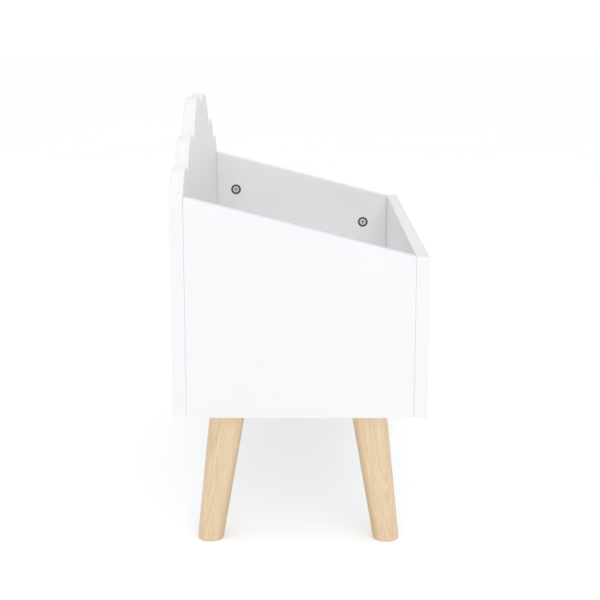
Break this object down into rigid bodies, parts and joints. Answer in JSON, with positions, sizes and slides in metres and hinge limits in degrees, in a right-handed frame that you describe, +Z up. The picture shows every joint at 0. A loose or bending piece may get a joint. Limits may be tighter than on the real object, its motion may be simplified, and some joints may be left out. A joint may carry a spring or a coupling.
{
  "type": "toy box",
  "caption": "Open-topped wooden toy box on splayed round legs, with a low front, sloping sides and a cloud-shaped back panel.",
  "frame": {"origin": "on the floor, under the middle of the box", "axes": "+X along the width, to the right as seen from the front; -Y to the front; +Z up"},
  "size_m": [0.6, 0.3, 0.517],
  "materials": {
    "white_lacquer": "satin white lacquer on MDF",
    "leg_wood": "clear satin on light solid wood",
    "dowel_wood": "bare beech",
    "zinc": "die-cast zinc, matt",
    "steel": "zinc-plated steel"
  },
  "bodies": {
    "toy_box": {"front_panel": "white_lacquer", "back_panel": "white_lacquer", "left_side_panel": "white_lacquer", "right_side_panel": "white_lacquer", "bottom_panel": "white_lacquer", "cam_bolt_front_left_lower": "steel", "cam_bolt_front_left_upper": "steel", "floor_cam_bolt_front_left": "steel", "corner_dowel_front_left": "dowel_wood", "floor_dowel_front_left": "dowel_wood", "leg_front_left": "leg_wood", "leg_insert_front_left": "steel", "leg_bolt_front_left": "steel", "leg_dowel_front_left": "dowel_wood", "cam_bolt_back_left_lower": "steel", "cam_bolt_back_left_upper": "steel", "floor_cam_bolt_back_left": "steel", "corner_dowel_back_left": "dowel_wood", "floor_dowel_back_left": "dowel_wood", "leg_back_left": "leg_wood", "leg_insert_back_left": "steel", "leg_bolt_back_left": "steel", "leg_dowel_back_left": "dowel_wood", "cam_bolt_front_right_lower": "steel", "cam_bolt_front_right_upper": "steel", "floor_cam_bolt_front_right": "steel", "corner_dowel_front_right": "dowel_wood", "floor_dowel_front_right": "dowel_wood", "leg_front_right": "leg_wood", "leg_insert_front_right": "steel", "leg_bolt_front_right": "steel", "leg_dowel_front_right": "dowel_wood", "cam_bolt_back_right_lower": "steel", "cam_bolt_back_right_upper": "steel", "floor_cam_bolt_back_right": "steel", "corner_dowel_back_right": "dowel_wood", "floor_dowel_back_right": "dowel_wood", "leg_back_right": "leg_wood", "leg_insert_back_right": "steel", "leg_bolt_back_right": "steel", "leg_dowel_back_right": "dowel_wood"},
    "cam_lock_front_left_lower": {"cam_lock_front_left_lower": "zinc"},
    "cam_lock_front_left_upper": {"cam_lock_front_left_upper": "zinc"},
    "floor_cam_lock_front_left": {"floor_cam_lock_front_left": "zinc"},
    "cam_lock_back_left_lower": {"cam_lock_back_left_lower": "zinc"},
    "cam_lock_back_left_upper": {"cam_lock_back_left_upper": "zinc"},
    "floor_cam_lock_back_left": {"floor_cam_lock_back_left": "zinc"},
    "cam_lock_front_right_lower": {"cam_lock_front_right_lower": "zinc"},
    "cam_lock_front_right_upper": {"cam_lock_front_right_upper": "zinc"},
    "floor_cam_lock_front_right": {"floor_cam_lock_front_right": "zinc"},
    "cam_lock_back_right_lower": {"cam_lock_back_right_lower": "zinc"},
    "cam_lock_back_right_upper": {"cam_lock_back_right_upper": "zinc"},
    "floor_cam_lock_back_right": {"floor_cam_lock_back_right": "zinc"}
  },
  "joints": [
    {"name": "cam_lock_front_left_lower_turn", "type": "hinge", "parent": "toy_box", "child": "cam_lock_front_left_lower", "pos_m": [-0.284, -0.096, 0.205], "axis": [1, 0, 0], "range_deg": [0, 180]},
    {"name": "cam_lock_front_left_upper_turn", "type": "hinge", "parent": "toy_box", "child": "cam_lock_front_left_upper", "pos_m": [-0.284, -0.096, 0.30528], "axis": [1, 0, 0], "range_deg": [0, 180]},
    {"name": "floor_cam_lock_front_left_turn", "type": "hinge", "parent": "toy_box", "child": "floor_cam_lock_front_left", "pos_m": [-0.25, -0.04, 0.155], "axis": [0, 0, -1], "range_deg": [0, 180]},
    {"name": "cam_lock_back_left_lower_turn", "type": "hinge", "parent": "toy_box", "child": "cam_lock_back_left_lower", "pos_m": [-0.284, 0.104, 0.205], "axis": [1, 0, 0], "range_deg": [0, 180]},
    {"name": "cam_lock_back_left_upper_turn", "type": "hinge", "parent": "toy_box", "child": "cam_lock_back_left_upper", "pos_m": [-0.284, 0.104, 0.35678], "axis": [1, 0, 0], "range_deg": [0, 180]},
    {"name": "floor_cam_lock_back_left_turn", "type": "hinge", "parent": "toy_box", "child": "floor_cam_lock_back_left", "pos_m": [-0.25, 0.04, 0.155], "axis": [0, 0, -1], "range_deg": [0, 180]},
    {"name": "cam_lock_front_right_lower_turn", "type": "hinge", "parent": "toy_box", "child": "cam_lock_front_right_lower", "pos_m": [0.284, -0.096, 0.205], "axis": [-1, 0, 0], "range_deg": [0, 180]},
    {"name": "cam_lock_front_right_upper_turn", "type": "hinge", "parent": "toy_box", "child": "cam_lock_front_right_upper", "pos_m": [0.284, -0.096, 0.30528], "axis": [-1, 0, 0], "range_deg": [0, 180]},
    {"name": "floor_cam_lock_front_right_turn", "type": "hinge", "parent": "toy_box", "child": "floor_cam_lock_front_right", "pos_m": [0.25, -0.04, 0.155], "axis": [0, 0, -1], "range_deg": [0, 180]},
    {"name": "cam_lock_back_right_lower_turn", "type": "hinge", "parent": "toy_box", "child": "cam_lock_back_right_lower", "pos_m": [0.284, 0.104, 0.205], "axis": [-1, 0, 0], "range_deg": [0, 180]},
    {"name": "cam_lock_back_right_upper_turn", "type": "hinge", "parent": "toy_box", "child": "cam_lock_back_right_upper", "pos_m": [0.284, 0.104, 0.35678], "axis": [-1, 0, 0], "range_deg": [-20, 160]},
    {"name": "floor_cam_lock_back_right_turn", "type": "hinge", "parent": "toy_box", "child": "floor_cam_lock_back_right", "pos_m": [0.25, 0.04, 0.155], "axis": [0, 0, -1], "range_deg": [0, 180]}
  ]
}
